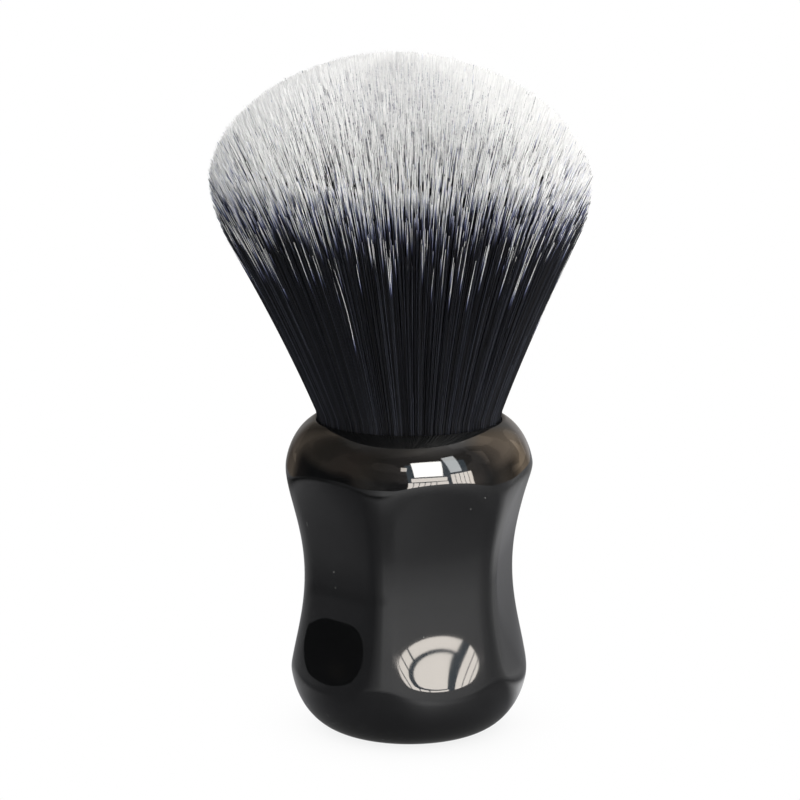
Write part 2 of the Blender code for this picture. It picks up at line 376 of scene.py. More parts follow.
def fibre_material():
    """Two-tone filament. The map's U holds the strand's dye variant and V its length from the socket."""
    made, tree, shader = new_material("two_tone_fibre")
    place = node(tree, "ShaderNodeUVMap", uv_map=UV_NAME)
    axes = tree.nodes.new("ShaderNodeSeparateXYZ")
    tree.links.new(place.outputs["UV"], axes.inputs["Vector"])
    column = math_node(tree, "FLOOR", math_node(tree, "MULTIPLY", axes.outputs["X"], float(VARIANTS)))
    share = math_node(tree, "DIVIDE", column, float(VARIANTS - 1))
    length = math_node(tree, "MULTIPLY", axes.outputs["Y"], UV_LENGTH)
    span = DYE_HIGHEST - DYE_LOWEST
    border = math_node(tree, "ADD", math_node(tree, "MULTIPLY", share, span), DYE_LOWEST)
    past = math_node(tree, "DIVIDE", math_node(tree, "SUBTRACT", length, border), DYE_FADE)
    white = math_node(tree, "ADD", past, 0.5)
    noise = node(tree, "ShaderNodeTexWhiteNoise", noise_dimensions="1D")
    tree.links.new(column, noise.inputs["W"])
    dark = ramp(
        tree, noise.outputs["Value"],
        (0.0, (0.003, 0.0036, 0.0058)), (0.75, (0.009, 0.0105, 0.016)), (1.0, (0.034, 0.038, 0.052)),
    )
    pale = mix_colour(tree, noise.outputs["Value"], (0.66, 0.66, 0.66), (0.86, 0.86, 0.85))
    tint = ramp(
        tree, white,
        (0.0, 0.0), (0.3, (0.05, 0.055, 0.11)), (0.6, (0.26, 0.29, 0.48)), (0.85, (0.72, 0.74, 0.87)),
        (1.0, 1.0),
    )
    step = ramp(tree, white, (0.0, 0.0), (0.3, 1.0))
    colour = mix_colour(tree, step, dark, multiply(tree, pale, tint))
    tree.links.new(colour, shader.inputs["Base Color"])
    shader.inputs["Roughness"].default_value = 0.45
    shader.inputs["Specular IOR Level"].default_value = 0.22
    return made


def core_material():
    """The packed fibres deeper in the knot: dark to a ragged line, then grey in fine vertical streaks, the
    grey being painted shade on the white fibres deep in the knot.
    """
    made, tree, shader = new_material("packed_fibre")
    place = tree.nodes.new("ShaderNodeTexCoord").outputs["Object"]
    stretch = node(tree, "ShaderNodeMapping", Scale=(1.0, 1.0, 0.06))
    tree.links.new(place, stretch.inputs["Vector"])
    streak = node(tree, "ShaderNodeTexNoise", Scale=2200.0, Detail=3.0)
    tree.links.new(stretch.outputs["Vector"], streak.inputs["Vector"])
    axes = tree.nodes.new("ShaderNodeSeparateXYZ")
    tree.links.new(place, axes.inputs["Vector"])
    shift = math_node(tree, "MULTIPLY", streak.outputs["Fac"], 14.0 * MM)
    level = math_node(tree, "ADD", axes.outputs["Z"], shift)
    past = math_node(tree, "SUBTRACT", level, CORE_DYE_LEVEL)
    white = math_node(tree, "DIVIDE", past, CORE_DYE_FADE)
    dark = ramp(tree, streak.outputs["Fac"], (0.35, 0.003), (0.65, (0.009, 0.009, 0.013)))
    # Painted shade: the white fibres deep in the knot are given grey.
    pale = ramp(tree, streak.outputs["Fac"], (0.35, (0.22, 0.22, 0.26)), (0.65, 0.60))
    tree.links.new(mix_colour(tree, white, dark, pale), shader.inputs["Base Color"])
    shader.inputs["Roughness"].default_value = 0.8
    shader.inputs["Specular IOR Level"].default_value = 0.1
    add_bump(tree, shader, streak.outputs["Fac"], 0.6, 0.2 * MM)
    return made


# ---------------------------------------------------------------- mesh helpers
def mesh_object(name, points, quads, triangles, look):
    """An object from arrays of points, four-sided faces and three-sided faces, shaded smooth."""
    mesh = bpy.data.meshes.new(name)
    mesh.vertices.add(len(points))
    mesh.vertices.foreach_set("co", np.ascontiguousarray(points, np.float32).ravel())
    corners = np.concatenate([quads.ravel(), triangles.ravel()]).astype(np.int32)
    starts = np.concatenate([
        np.arange(len(quads)) * 4,
        len(quads) * 4 + np.arange(len(triangles)) * 3,
    ]).astype(np.int32)
    mesh.loops.add(len(corners))
    mesh.loops.foreach_set("vertex_index", corners)
    mesh.polygons.add(len(starts))
    mesh.polygons.foreach_set("loop_start", starts)
    mesh.update(calc_edges=True)
    mesh.validate()
    mesh.shade_smooth()
    mesh.materials.append(look)
    made = bpy.data.objects.new(name, mesh)
    bpy.context.scene.collection.objects.link(made)
    return made


def lathe_mesh(name, radii, levels, angles, ends, look):
    """A closed skin of rings, with a fan to the axis at each end's level: radii is (rings, sides)."""
    rings, sides = radii.shape
    points = np.stack([
        radii * np.cos(angles),
        radii * np.sin(angles),
        np.broadcast_to(levels[:, None], radii.shape),
    ], axis=2).reshape(-1, 3)
    low_ring, high_ring = points[:sides], points[-sides:]
    points = np.vstack([points, low_ring, [[0, 0, ends[0]]], high_ring, [[0, 0, ends[1]]]])
    here = np.arange(sides)
    after = (here + 1) % sides
    row = np.arange(rings - 1)[:, None] * sides
    quads = np.stack([row + here, row + after, row + sides + after, row + sides + here], axis=2)
    first = rings * sides
    low = np.stack([first + after, first + here, np.full(sides, first + sides)], axis=1)
    last = first + sides + 1
    high = np.stack([last + here, last + after, np.full(sides, last + sides)], axis=1)
    return mesh_object(name, points, quads.reshape(-1, 4), np.vstack([low, high]), look)


# ---------------------------------------------------------------- handle
def smooth_min(first, second, softness):
    """The smaller of two values, with a soft corner where they meet."""
    share = np.clip(0.5 + 0.5 * (second - first) / softness, 0.0, 1.0)
    return second + (first - second) * share - softness * share * (1.0 - share)


def turned_radius(level):
    """Radius of the turned blank at each level."""
    drop = np.clip((FOOT_LEVEL - level) / FOOT_HALF_HEIGHT, 0.0, 1.0)
    foot = FOOT_CENTRE_RADIUS + (FOOT_RADIUS - FOOT_CENTRE_RADIUS) * np.sqrt(1.0 - drop ** 2)
    rise = np.clip((level - SHOULDER_LEVEL) / SHOULDER_HALF_HEIGHT, 0.0, 1.0)
    span = SHOULDER_RADIUS - SHOULDER_CENTRE_RADIUS
    shoulder = SHOULDER_CENTRE_RADIUS + span * np.sqrt(1.0 - rise ** 2)
    share = np.clip((level - FOOT_LEVEL) / (SHOULDER_LEVEL - FOOT_LEVEL), 0.0, 1.0)
    waist = FOOT_RADIUS + (SHOULDER_RADIUS - FOOT_RADIUS) * share ** 2 * (3.0 - 2.0 * share)
    return np.where(level < FOOT_LEVEL, foot, np.where(level > SHOULDER_LEVEL, shoulder, waist))


def handle_radius(level, angle):
    """Outer radius of the handle, scallops included. level is a column and angle a row."""
    step = math.tau / SCALLOPS
    from_middle = np.abs((angle + math.pi / 2 + step / 2) % step - step / 2)
    away = np.clip((level - SCALLOP_LEVEL) / SCALLOP_HALF_LENGTH, -1.0, 1.0)
    flat = DEEPEST_RADIUS + SCALLOP_DEPTH * (1.0 - np.sqrt(1.0 - away ** 2))
    own = flat / np.cos(from_middle)
    neighbour = flat / np.cos(step - from_middle)
    ground = smooth_min(own, neighbour, RIDGE_SOFTNESS)
    return smooth_min(turned_radius(level), ground, SCALLOP_EDGE_SOFTNESS)


def make_handle():
    """The handle with its socket; the rings lie closer together at both ends."""
    angles = np.arange(HANDLE_SIDES) * math.tau / HANDLE_SIDES
    share = np.linspace(0.0, 1.0, HANDLE_RINGS)
    levels = HANDLE_HEIGHT * (share - np.sin(math.tau * share) / (math.tau * RING_EASING))
    outer = handle_radius(levels[:, None], angles[None, :])
    bore = np.array([SOCKET_RADIUS + LIP_WIDTH, SOCKET_RADIUS, SOCKET_RADIUS, SOCKET_RADIUS * 0.6])
    bore_levels = [HANDLE_HEIGHT, HANDLE_HEIGHT - LIP_DEPTH, SOCKET_FLOOR, SOCKET_FLOOR]
    radii = np.vstack([outer, bore[:, None] * np.ones((1, HANDLE_SIDES))])
    all_levels = np.concatenate([levels, bore_levels])
    piece = lathe_mesh(
        "handle_resin", radii, all_levels, angles, (0.0, SOCKET_FLOOR), resin_material()
    )
    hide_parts("handle")
    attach(piece, "handle")


# ---------------------------------------------------------------- knot
def flare_radius(level):
    """Radius of the outermost fibres, carried on past the point where the tips are trimmed."""
    rise = np.maximum(level - HANDLE_HEIGHT, 0.0)
    return KNOT_RADIUS + FLARE_SLOPE * rise + FLARE_GROWTH * rise ** 2


def trim_radius(level):
    """Radius of the trimmed outside of the knot: rounded rim, then dome."""
    span = RIM_LEVEL - FLARE_TOP
    share = np.clip((level - FLARE_TOP) / span, 0.0, 1.0)
    slope = FLARE_SLOPE + 2.0 * FLARE_GROWTH * (FLARE_TOP - HANDLE_HEIGHT)
    low = flare_radius(np.array(FLARE_TOP))
    edge = low + (RIM_RADIUS - low) * share ** 2 * (3.0 - 2.0 * share)
    edge = edge + slope * span * share * (1.0 - share) ** 2
    rise = np.clip((level - RIM_LEVEL) / (TOP_LEVEL - RIM_LEVEL), 0.0, 1.0)
    dome = RIM_RADIUS * (1.0 - rise ** DOME_POWER) ** (1.0 / DOME_POWER)
    return np.where(level < RIM_LEVEL, edge, dome)


def tip_level(share):
    """Level at which a fibre that keeps to this share of the flare meets the trimmed outside."""
    low = np.full(share.shape, FLARE_TOP)
    high = np.full(share.shape, TOP_LEVEL)
    for _ in range(36):
        middle = 0.5 * (low + high)
        inside = share * flare_radius(middle) < trim_radius(middle)
        low = np.where(inside, middle, low)
        high = np.where(inside, high, middle)
    return low


def lean_offset(level):
    """Sideways set of the knot, square to the view, growing from the socket."""
    rise = np.maximum(level - HANDLE_HEIGHT, 0.0) * LEAN
    azimuth = math.radians(CAMERA_AZIMUTH)
    return -rise * math.cos(azimuth), -rise * math.sin(azimuth)


class Fibres:
    """Many fibres: each one's share of the flare, angle, tip level, waviness, thickness and dye, with the
    deeper ones dyed further up as painted shade.
    """

    def __init__(self, rng, count, share, angle):
        self.share = share
        self.angle = angle
        self.tip = tip_level(share) + rng.normal(0.0, TIP_SCATTER, count)
        short = rng.random(count) < SHORT_CHANCE
        self.tip = self.tip - short * rng.exponential(SHORT_LENGTH, count)
        cell = np.floor(angle / math.tau * CLUMPS).astype(int) % CLUMPS
        centres = (np.arange(CLUMPS) + rng.uniform(0.15, 0.85, CLUMPS)) * math.tau / CLUMPS
        self.pull = (centres[cell] - angle) * rng.uniform(0.1, 0.8, count)
        self.drift = rng.normal(0.0, DRIFT, count)
        self.sway = rng.normal(0.0, SWAY, count)
        self.wave = rng.uniform(0.0, WAVE, count)
        self.phase = rng.uniform(0.0, math.tau, count)
        self.splay = rng.normal(0.0, SPLAY, count)
        self.thickness = 0.85 + 0.3 * rng.random(count)
        clump_dye = rng.normal(0.0, CLUMP_SCATTER, CLUMPS)[cell]
        own_dye = rng.normal(0.0, OWN_SCATTER, count)
        below = rng.exponential(1.0, count) * TAIL_LENGTH * (rng.random(count) < TAIL_CHANCE)
        # Painted shade: the deeper a fibre lies, the further up its dark part reaches.
        deep = np.clip((1.0 - share) / SIDE_DEPTH, 0.0, 1.0)
        painted_depth_shade = DEEP_PAINTED_SHADE * deep
        above = rng.exponential(1.0, count) * DARK_LENGTH * (painted_depth_shade + (rng.random(count) < DARK_CHANCE))
        dye = DYE_LENGTH + clump_dye + own_dye - below + above
        to_tip = fibre_lengths(self, self.tip[:, None])[:, 0]
        under_dome = np.clip((FULLY_DYED_TOP - self.tip) / FULLY_DYED_SPAN, 0.0, 1.0)
        dyed = rng.random(count) < under_dome * FULLY_DYED_CHANCE
        left_white = rng.uniform(LEAST_WHITE, MOST_WHITE, count)
        self.set_dye(np.where(dyed, to_tip - left_white, dye))

    def set_dye(self, dye):
        """Keeps the length of each fibre's dyed part, as the number of its variant."""
        place = (dye - DYE_LOWEST) / (DYE_HIGHEST - DYE_LOWEST)
        self.variant = np.clip(np.round(place * (VARIANTS - 1)), 0, VARIANTS - 1)

    def pick(self, keep):
        """The same fibres, only those kept."""
        made = object.__new__(Fibres)
        made.__dict__ = {key: value[keep] for key, value in self.__dict__.items()}
        return made

    def joined(self, other):
        """These fibres and the others."""
        made = object.__new__(Fibres)
        for key, value in self.__dict__.items():
            made.__dict__[key] = np.concatenate([value, other.__dict__[key]])
        return made

    def points(self, levels):
        """Centre line points at levels (count, steps)."""
        rise = (levels - HANDLE_HEIGHT) / (TOP_LEVEL - HANDLE_HEIGHT)
        grown = np.clip(rise, 0.0, 1.0)
        share = self.share[:, None] + self.splay[:, None] * grown
        angle = self.angle[:, None] + self.pull[:, None] * grown ** CLUMP_POWER + self.drift[:, None] * grown
        angle = angle + self.sway[:, None] * np.sin(self.phase[:, None] + SWAY_RATE * rise) * grown
        ripple = self.wave[:, None] * np.sin(self.phase[:, None] + WAVE_RATE * rise) * grown
        radius = share * flare_radius(levels) + ripple
        shift_x, shift_y = lean_offset(levels)
        x = radius * np.cos(angle) + shift_x
        y = radius * np.sin(angle) + shift_y
        return np.stack([x, y, levels], axis=2), angle


def fibre_mesh(name, fibres, start, end, steps, look, tapered):
    """Three-sided tubes along the fibres between two levels; tapered ones are closed at the tip."""
    share = np.linspace(0.0, 1.0, steps + 1)[None, :]
    start = np.broadcast_to(start, fibres.tip.shape)[:, None]
    end = np.broadcast_to(end, fibres.tip.shape)[:, None]
    levels = start + (end - start) * share
    points, angle = fibres.points(levels)
    count = len(points)
    slope = np.gradient(points, axis=1)
    slope /= np.linalg.norm(slope, axis=2, keepdims=True)
    side = np.stack([-np.sin(angle), np.cos(angle), np.zeros_like(angle)], axis=2)
    side -= slope * np.sum(side * slope, axis=2, keepdims=True)
    side /= np.linalg.norm(side, axis=2, keepdims=True)
    out = np.cross(side, slope)
    from_tip = np.maximum(fibres.tip[:, None] - levels, 0.0)
    taper = np.clip(from_tip / TAPER_LENGTH, 0.0, 1.0) if tapered else np.ones_like(levels)
    thickness = FIBRE_RADIUS * fibres.thickness[:, None] * (TIP_THICKNESS + (1.0 - TIP_THICKNESS) * taper)
    rings = []
    for corner in range(3):
        turn = math.tau * corner / 3
        offset = math.cos(turn) * out + math.sin(turn) * side
        rings.append(points + offset * thickness[:, :, None])
    vertices = np.stack(rings, axis=2).reshape(-1, 3)

    base = (np.arange(count) * (steps + 1) * 3)[:, None, None]
    level_base = (np.arange(steps) * 3)[None, :, None]
    corner = np.arange(3)[None, None, :]
    following = (corner + 1) % 3
    low = base + level_base
    quads = np.stack([low + corner, low + following, low + 3 + following, low + 3 + corner], axis=3)
    last = (np.arange(count) * (steps + 1) * 3)[:, None] + steps * 3
    caps = last + np.array([[0, 1, 2]])
    if not tapered:
        caps = caps[:0]
    piece = mesh_object(name, vertices, quads.reshape(-1, 4), caps, look)
    map_fibres(piece, fibres, levels, len(caps))
    return piece


def map_fibres(piece, fibres, levels, caps):
    """The map of the tubes: U is the middle part of the fibre's own column and V its length so far."""
    count, steps = levels.shape[0], levels.shape[1] - 1
    lengths = fibre_lengths(fibres, levels)
    column = fibres.variant / VARIANTS
    inset = np.array([0.2, 0.8]) / VARIANTS
    u = np.empty((count, steps, 3, 4))
    v = np.empty((count, steps, 3, 4))
    for side_index in range(3):
        here, after = (inset[0], inset[1]) if side_index % 2 == 0 else (inset[1], inset[0])
        u[:, :, side_index, 0] = (column + here)[:, None]
        u[:, :, side_index, 1] = (column + after)[:, None]
        u[:, :, side_index, 2] = (column + after)[:, None]
        u[:, :, side_index, 3] = (column + here)[:, None]
        v[:, :, side_index, 0:2] = lengths[:, :-1, None]
        v[:, :, side_index, 2:4] = lengths[:, 1:, None]
    cap_u = np.tile((column + inset.mean())[:caps, None], (1, 3))
    cap_v = np.tile(lengths[:caps, [-1]], (1, 3))
    all_u = np.concatenate([u.ravel(), cap_u.ravel()])
    all_v = np.concatenate([v.ravel(), cap_v.ravel()]) / UV_LENGTH
    layer = piece.data.uv_layers.new(name=UV_NAME)
    layer.data.foreach_set("uv", np.stack([all_u, all_v], axis=1).astype(np.float32).ravel())


def fibre_lengths(fibres, levels):
    """Length along each fibre from the socket's mouth to each level, kept inside the map."""
    rise = np.maximum(levels - HANDLE_HEIGHT, 0.0)
    mean_slope = fibres.share[:, None] * (FLARE_SLOPE + FLARE_GROWTH * rise)
    return np.clip(rise * np.sqrt(1.0 + mean_slope ** 2), 0.0, UV_LENGTH * 0.999)


def side_fibres(rng, count):
    """Fibres near the outside, which are seen along their whole length."""
    share = 1.0 - SIDE_DEPTH * rng.random(count) ** 1.4
    angle = (np.arange(count) + rng.random(count)) * math.tau / count
    return Fibres(rng, count, share, angle)


def stray_fibres(rng, count):
    """A few loose, thin, wavy fibres over the others, white for most of their length."""
    share = rng.uniform(1.008, 1.018, count)
    angle = (np.arange(count) + rng.random(count)) * math.tau / count
    made = Fibres(rng, count, share, angle)
    made.sway = rng.normal(0.0, 0.035, count)
    made.drift = rng.normal(0.0, 0.06, count)
    made.thickness = np.full(count, 0.65)
    made.set_dye(rng.uniform(12.0 * MM, 27.0 * MM, count))
    return made


def dome_fibres(rng, count):
    """Fibres deeper in, of which only the tips show: spread evenly over the dome's area."""
    steps = np.linspace(0.0, DOME_SHARE, 400)
    tips = tip_level(steps)
    reach = steps * flare_radius(tips)
    piece_area = np.hypot(np.diff(reach), np.diff(tips)) * 0.5 * (reach[1:] + reach[:-1])
    area = np.concatenate([[0.0], np.cumsum(piece_area)])
    share = np.interp(rng.random(count) * area[-1], area, steps)
    angle = rng.uniform(0.0, math.tau, count)
    return Fibres(rng, count, share, angle)


def core_mesh(name, low, high, rings, look, domed):
    """The packed fibres inside: a solid a little smaller than the knot, set over with the knot's lean."""
    angles = np.arange(CORE_SIDES) * math.tau / CORE_SIDES
    if domed:
        share = np.linspace(0.0, 1.0, rings)
        levels = low + (high - low) * np.sin(share * math.pi / 2)
        trimmed = trim_radius(levels + CORE_DEPTH) * CORE_TRIM
        radius = np.minimum(CORE_SHARE * flare_radius(levels), trimmed)
        radius = np.maximum(radius, CORE_LEAST)
    else:
        levels = np.linspace(low, high, rings)
        radius = CORE_SHARE * flare_radius(levels)
    radii = radius[:, None] * np.ones((1, CORE_SIDES))
    piece = lathe_mesh(name, radii, levels, angles, (levels[0], levels[-1]), look)
    points = np.empty(len(piece.data.vertices) * 3, np.float32)
    piece.data.vertices.foreach_get("co", points)
    points = points.reshape(-1, 3)
    shift_x, shift_y = lean_offset(points[:, 2])
    points[:, 0] += shift_x
    points[:, 1] += shift_y
    piece.data.vertices.foreach_set("co", points.ravel())
    return piece


def halves(fibres):
    """The fibres in two interleaved halves, which keeps each piece light."""
    even = np.arange(len(fibres.share)) % 2 == 0
    return fibres.pick(even), fibres.pick(~even)


def make_knot():
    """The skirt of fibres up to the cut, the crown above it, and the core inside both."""
    rng = np.random.default_rng(7)
    fibre = fibre_material()
    core = core_material()
    side = side_fibres(rng, SIDE_FIBRES).joined(stray_fibres(rng, STRAY_FIBRES))
    dome = dome_fibres(rng, DOME_FIBRES)
    root = HANDLE_HEIGHT - ROOT_DEPTH
    core_root = HANDLE_HEIGHT - CORE_ROOT_DEPTH
    core_top = TOP_LEVEL - CORE_DEPTH
    skirt = [
        fibre_mesh("fibre_skirt", side, root, CUT_LEVEL, SKIRT_STEPS, fibre, False),
        core_mesh("fibre_core_lower", core_root, CUT_LEVEL, LOWER_CORE_RINGS, core, False),
    ]
    crown = []
    for number, part in enumerate(halves(side), 1):
        name = f"fibre_crown_{number}"
        crown.append(fibre_mesh(name, part, CUT_LEVEL, part.tip, CROWN_STEPS, fibre, True))
    for number, part in enumerate(halves(dome), 1):
        name = f"fibre_dome_{number}"
        crown.append(fibre_mesh(name, part, part.tip - DOME_LENGTH, part.tip, DOME_STEPS, fibre, True))
    crown.append(core_mesh("fibre_core_upper", CUT_LEVEL, core_top, UPPER_CORE_RINGS, core, True))

    for piece in skirt:
        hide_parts("fibre_root", "fibre_mid")
        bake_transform(piece)
    for piece in crown:
        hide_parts("fibre_head")
        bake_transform(piece)


# ---------------------------------------------------------------- what stays from the frame
def finish_hidden_pieces():
    """Looks for the pieces in the socket, whose shapes stay as the frame has them."""
    looks = {
        "bedding_adhesive": clear_epoxy_material(),
        "knot_plug": cast_epoxy_material(),
        "binding_thread": cord_material(),
    }
    for name, look in looks.items():
        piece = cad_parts[name]
        piece.data.materials.clear()
        piece.data.materials.append(look)


# ---------------------------------------------------------------- stage
def around(azimuth, elevation, distance, centre):
    """A point round a centre; azimuth is measured to the right of the camera's own side."""
    turn = math.radians(CAMERA_AZIMUTH + azimuth)
    rise = math.radians(elevation)
    away = Vector((
        math.sin(turn) * math.cos(rise),
        -math.cos(turn) * math.cos(rise),
        math.sin(rise),
    ))
    return centre + away * distance


def aim(thing, target):
    """Points a light or the camera at a place, upright."""
    thing.rotation_euler = (target - thing.location).to_track_quat("-Z", "Y").to_euler()


def area_light(name, place, target, width, height, power, colour):
    """A rectangle of light that the camera doesn't see."""
    data = bpy.data.lights.new(name, "AREA")
    data.shape = "RECTANGLE"
    data.size = width
    data.size_y = height
    data.energy = power
    data.color = colour
    light = bpy.data.objects.new(name, data)
    bpy.context.scene.collection.objects.link(light)
    light.location = place
    aim(light, target)
    light.visible_camera = False
    return light


def azimuth_share(tree, place):
    """How far round the object a direction or a point lies: 0.5 towards the camera, more to its right."""
    split = tree.nodes.new("ShaderNodeSeparateXYZ")
    tree.links.new(place, split.inputs["Vector"])
    forward = math_node(tree, "MULTIPLY", split.outputs["Y"], -1.0)
    angle = math_node(tree, "ARCTAN2", split.outputs["X"], forward)
    turned = math_node(tree, "SUBTRACT", angle, math.radians(CAMERA_AZIMUTH))
    share = math_node(tree, "ADD", math_node(tree, "DIVIDE", turned, math.tau), 0.5)
    return math_node(tree, "FRACT", math_node(tree, "ADD", share, 1.0))


def by_azimuth(tree, share, *stops):
    """A ramp round the object; each stop is (degrees to the camera's right, brightness or colour)."""
    return ramp(tree, share, *[((degrees + 180.0) / 360.0, value) for degrees, value in stops])


def room_low(tree, share):
    """Half the brightness of the room near the horizon, as mirrored by the handle."""
    return by_azimuth(
        tree, share,
        (-180, (0.15, 0.14, 0.13)), (-165, (0.15, 0.145, 0.14)), (-150, (0.08, 0.065, 0.055)),
        (-135, (0.17, 0.14, 0.11)), (-122, (0.035, 0.03, 0.028)), (-105, 0.015), (-90, 0.012),
        (-60, (0.016, 0.015, 0.014)), (-50, (0.08, 0.07, 0.06)), (-42, (0.12, 0.11, 0.10)),
        (-30, (0.09, 0.085, 0.08)), (-5, (0.09, 0.085, 0.09)), (45, (0.22, 0.18, 0.16)),
        (62, (0.30, 0.26, 0.23)), (80, (0.13, 0.125, 0.12)), (96, (0.27, 0.23, 0.19)),
        (111, (0.16, 0.13, 0.10)), (127, (0.50, 0.39, 0.28)), (142, (0.25, 0.20, 0.15)),
        (157, (0.35, 0.33, 0.32)), (180, (0.15, 0.14, 0.13)),
    )


def room_middle(tree, share):
    """The same above the furniture."""
    return by_azimuth(
        tree, share,
        (-180, (0.12, 0.11, 0.10)), (-150, (0.06, 0.05, 0.04)), (-135, (0.17, 0.14, 0.11)),
        (-115, (0.12, 0.10, 0.08)), (-104, (0.11, 0.095, 0.075)), (-90, (0.13, 0.11, 0.09)),
        (-60, (0.165, 0.13, 0.105)), (-45, (0.155, 0.13, 0.105)), (-30, (0.125, 0.11, 0.095)),
        (-10, (0.18, 0.16, 0.15)), (45, (0.20, 0.18, 0.16)), (62, (0.21, 0.19, 0.17)),
        (80, (0.15, 0.135, 0.125)), (94, (0.50, 0.41, 0.33)), (112, (0.72, 0.58, 0.45)),
        (130, (0.62, 0.50, 0.38)), (143, (0.40, 0.33, 0.26)), (156, (0.22, 0.21, 0.20)),
        (180, (0.12, 0.11, 0.10)),
    )


def room_high(tree, share):
    """The same towards the ceiling."""
    return by_azimuth(
        tree, share,
        (-180, 0.20), (-105, (0.17, 0.17, 0.165)), (-75, (0.23, 0.22, 0.21)), (-45, (0.20, 0.18, 0.165)),
        (-15, (0.25, 0.23, 0.21)), (0, (0.34, 0.31, 0.28)), (30, (0.55, 0.52, 0.48)),
        (60, (0.65, 0.62, 0.60)), (100, 0.52), (150, 0.30), (180, 0.20),
    )


def room_glow(tree, share, rise):
    """The room's layers, mixed by the sine of the elevation."""
    low_part = ramp(tree, rise, (0.13, 0.0), (0.28, 1.0))
    high_part = ramp(tree, rise, (0.72, 0.0), (0.90, 1.0))
    lower = mix_colour(tree, low_part, room_low(tree, share), room_middle(tree, share))
    return mix_colour(tree, high_part, lower, room_high(tree, share))


def furniture(tree, place):
    """Blocky light and dark patches, and a few bright spots, as a furnished room has."""
    cells = node(tree, "ShaderNodeTexVoronoi", distance="CHEBYCHEV", Scale=2.6, Randomness=0.8)
    tree.links.new(place, cells.inputs["Vector"])
    parts = tree.nodes.new("ShaderNodeSeparateColor")
    tree.links.new(cells.outputs["Color"], parts.inputs["Color"])
    return ramp(tree, parts.outputs["Red"], (0.0, 0.8), (0.5, 1.05), (0.85, 1.3), (1.0, 1.8))


def sun_near(tree, share):
    """Share of sunlight on the table close round the foot."""
    return by_azimuth(
        tree, share,
        (-180, 0.02), (-125, 0.03), (-100, 0.0), (-45, 0.0), (-25, 0.03), (-12, 0.05), (-4, 0.09),
        (4, 0.22), (12, 0.34), (20, 0.32), (28, 0.24), (42, 0.14), (55, 0.06), (80, 0.02), (180, 0.02),
    )


def sun_far(tree, share):
    """The same farther off."""
    return by_azimuth(
        tree, share,
        (-180, 0.02), (-150, 0.03), (-115, 0.05), (-92, 0.03), (-80, 0.0), (-50, 0.0), (-40, 0.06),
        (-30, 0.15), (-22, 0.33), (-10, 0.35), (15, 0.36), (35, 0.32), (50, 0.28), (65, 0.17),
        (80, 0.10), (88, 0.10), (97, 0.14), (106, 0.22), (118, 0.14), (135, 0.04), (180, 0.02),
    )


def sun_by_edge(tree, share):
    """The same by the table's edge, unless it is seen at a low angle."""
    return by_azimuth(
        tree, share,
        (-180, 0.02), (-125, 0.0), (-25, 0.0), (-16, 0.22), (-8, 0.36), (15, 0.36), (35, 0.32),
        (50, 0.28), (65, 0.17), (80, 0.11), (95, 0.12), (106, 0.16), (118, 0.12), (135, 0.04), (180, 0.02),
    )


def sun_from_above(tree, share):
    """What is added wherever the table is seen from well above."""
    return by_azimuth(
        tree, share,
        (-160, 0.0), (-135, 0.04), (-92, 0.06), (-70, 0.02), (-55, 0.0), (85, 0.0), (97, 0.20), (110, 0.32),
        (125, 0.28), (145, 0.23), (160, 0.08), (175, 0.0),
    )


def shade_by_edge(tree, share):
    """Half the brightness of the table's edge out of the sun."""
    return by_azimuth(
        tree, share,
        (-180, 0.09), (-150, 0.06), (-125, 0.025), (-82, 0.025), (-68, 0.07), (-20, 0.08), (60, 0.10),
        (180, 0.09),
    )


def table_glow(tree, place, reach):
    """Half the brightness of the table, as mirrored by the handle: sunlight, sheen, pool and shade."""
    share = azimuth_share(tree, place)
    close = math_node(tree, "DIVIDE", reach, TABLE_REACH)
    split = tree.nodes.new("ShaderNodeSeparateXYZ")
    tree.links.new(tree.nodes.new("ShaderNodeNewGeometry").outputs["Incoming"], split.inputs["Vector"])
    steep = math_node(tree, "ABSOLUTE", split.outputs["Z"])

    past_middle = ramp(tree, close, (0.25, 0.0), (0.375, 1.0))
    by_edge = ramp(tree, close, (0.55, 0.0), (0.75, 1.0))
    past_far = multiply(tree, by_edge, ramp(tree, steep, (0.16, 0.0), (0.24, 1.0)))
    inner = mix_colour(tree, past_middle, sun_near(tree, share), sun_far(tree, share))
    level = mix_colour(tree, past_far, inner, sun_by_edge(tree, share))
    above = multiply(tree, sun_from_above(tree, share), ramp(tree, steep, (0.28, 0.0), (0.42, 1.0)))
    sunlight = add_colours(tree, level, above)

    sheen = ramp(tree, steep, (0.0, 1.0), (0.21, 0.93), (0.38, 0.66), (0.57, 0.38), (0.87, 0.20))
    pool = ramp(
        tree, close,
        (0.08, 0.06), (0.10, 0.18), (0.12, 0.52), (0.14, 0.88), (0.16, 1.0), (0.20, 0.95), (0.26, 0.72),
        (0.33, 0.52),
    )
    lit = multiply(tree, multiply(tree, sunlight, sheen), pool)
    contact = ramp(tree, close, (0.075, 0.075), (0.11, (0.105, 0.105, 0.11)))
    shade = mix_colour(tree, past_far, contact, shade_by_edge(tree, share))
    return add_colours(tree, multiply(tree, lit, white_of(tree, SUN)), shade)


def glow_only(tree, colour):
    """An emission that makes up for colours kept at half their brightness."""
    made = node(tree, "ShaderNodeEmission", Strength=GLOW)
    tree.links.new(colour, made.inputs["Color"])
    return made.outputs["Emission"]


def reach_of(tree, place):
    """Distance from the object's axis."""
    flat = node(tree, "ShaderNodeVectorMath", operation="MULTIPLY")
    flat.inputs[1].default_value = (1.0, 1.0, 0.0)
    length = node(tree, "ShaderNodeVectorMath", operation="LENGTH")
    tree.links.new(place, flat.inputs[0])
    tree.links.new(flat.outputs[0], length.inputs[0])
    return length.outputs["Value"]


